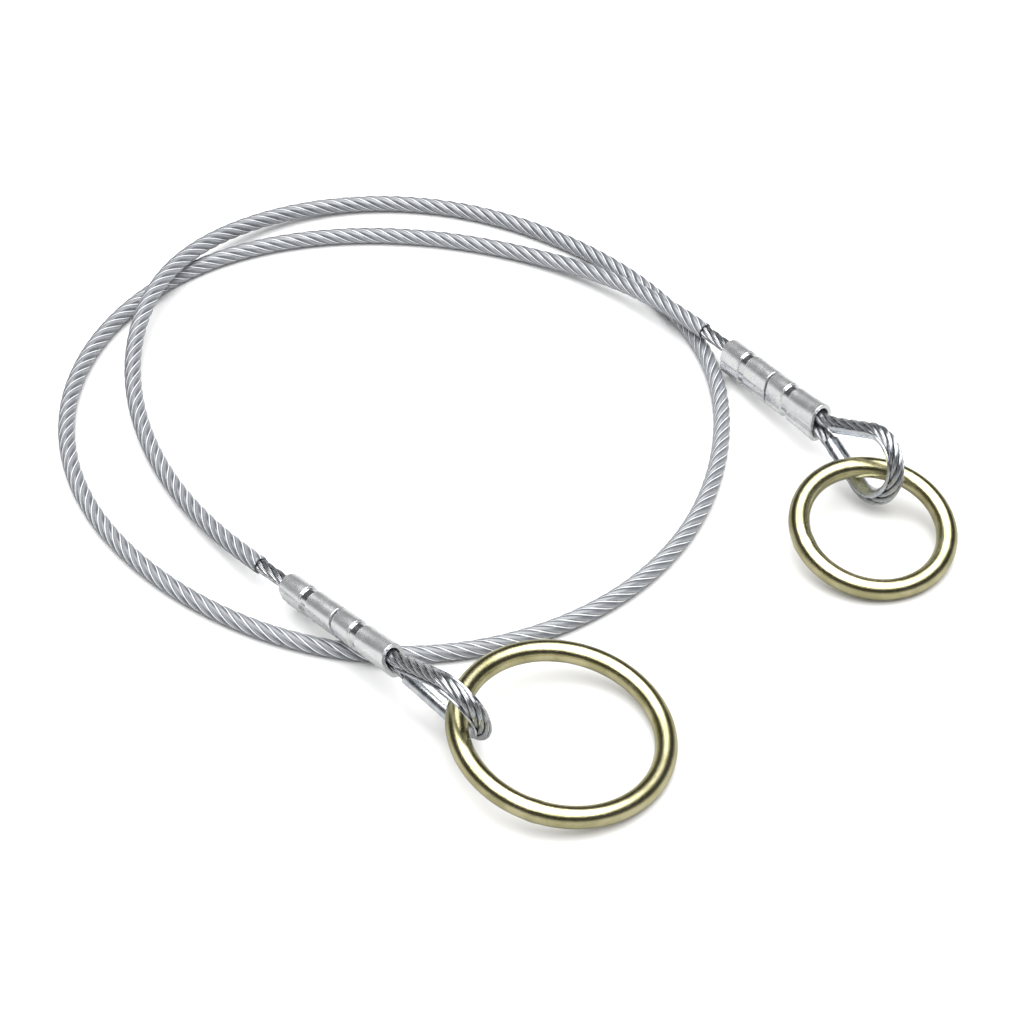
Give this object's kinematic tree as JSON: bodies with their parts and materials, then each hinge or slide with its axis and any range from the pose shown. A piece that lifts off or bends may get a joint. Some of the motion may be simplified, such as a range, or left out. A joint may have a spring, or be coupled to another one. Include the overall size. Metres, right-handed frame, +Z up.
{
  "type": "wire rope sling",
  "caption": "Coiled plastic-coated wire rope sling with a pressed thimble eye at each end, holding a large and a small welded ring.",
  "frame": {"origin": "middle of the laid-out sling's outline, on the floor under it", "axes": "+Z up from the floor the sling lies on; -Y towards the side where both rings lie; +X towards the small ring"},
  "size_m": [0.4106, 0.4257, 0.0423],
  "materials": {
    "coat_plastic": "clear grey vinyl coat, glossy, with the strands showing through it",
    "rope_steel": "galvanised wire, semi-bright",
    "sleeve_aluminium": "pressed aluminium, satin with long streaks",
    "thimble_zinc": "bright zinc plate",
    "ring_plating": "glossy yellow-green zinc plate"
  },
  "bodies": {
    "sling": {"coat": "coat_plastic", "wire_rope": "rope_steel", "large_end_strand_1": "rope_steel", "large_end_strand_2": "rope_steel", "large_end_strand_3": "rope_steel", "large_end_strand_4": "rope_steel", "large_end_strand_5": "rope_steel", "large_end_strand_6": "rope_steel", "large_end_core_strand": "rope_steel", "large_end_eye_sleeve": "sleeve_aluminium", "large_end_tail_sleeve": "sleeve_aluminium", "large_end_thimble": "thimble_zinc", "small_end_strand_1": "rope_steel", "small_end_strand_2": "rope_steel", "small_end_strand_3": "rope_steel", "small_end_strand_4": "rope_steel", "small_end_strand_5": "rope_steel", "small_end_strand_6": "rope_steel", "small_end_core_strand": "rope_steel", "small_end_eye_sleeve": "sleeve_aluminium", "small_end_tail_sleeve": "sleeve_aluminium", "small_end_thimble": "thimble_zinc"},
    "large_ring": {"large_ring": "ring_plating"},
    "small_ring": {"small_ring": "ring_plating"}
  },
  "joints": [
    {"name": "large_ring_swing", "type": "hinge", "parent": "sling", "child": "large_ring", "pos_m": [-0.0151, -0.15903, 0.01961], "axis": [-0.1332, -0.9906, -0.0324], "range_deg": [-100, 170]},
    {"name": "small_ring_swing", "type": "hinge", "parent": "sling", "child": "small_ring", "pos_m": [0.16695, -0.00948, 0.0188], "axis": [-0.9956, -0.0342, 0.0869], "range_deg": [-140, 170]}
  ]
}
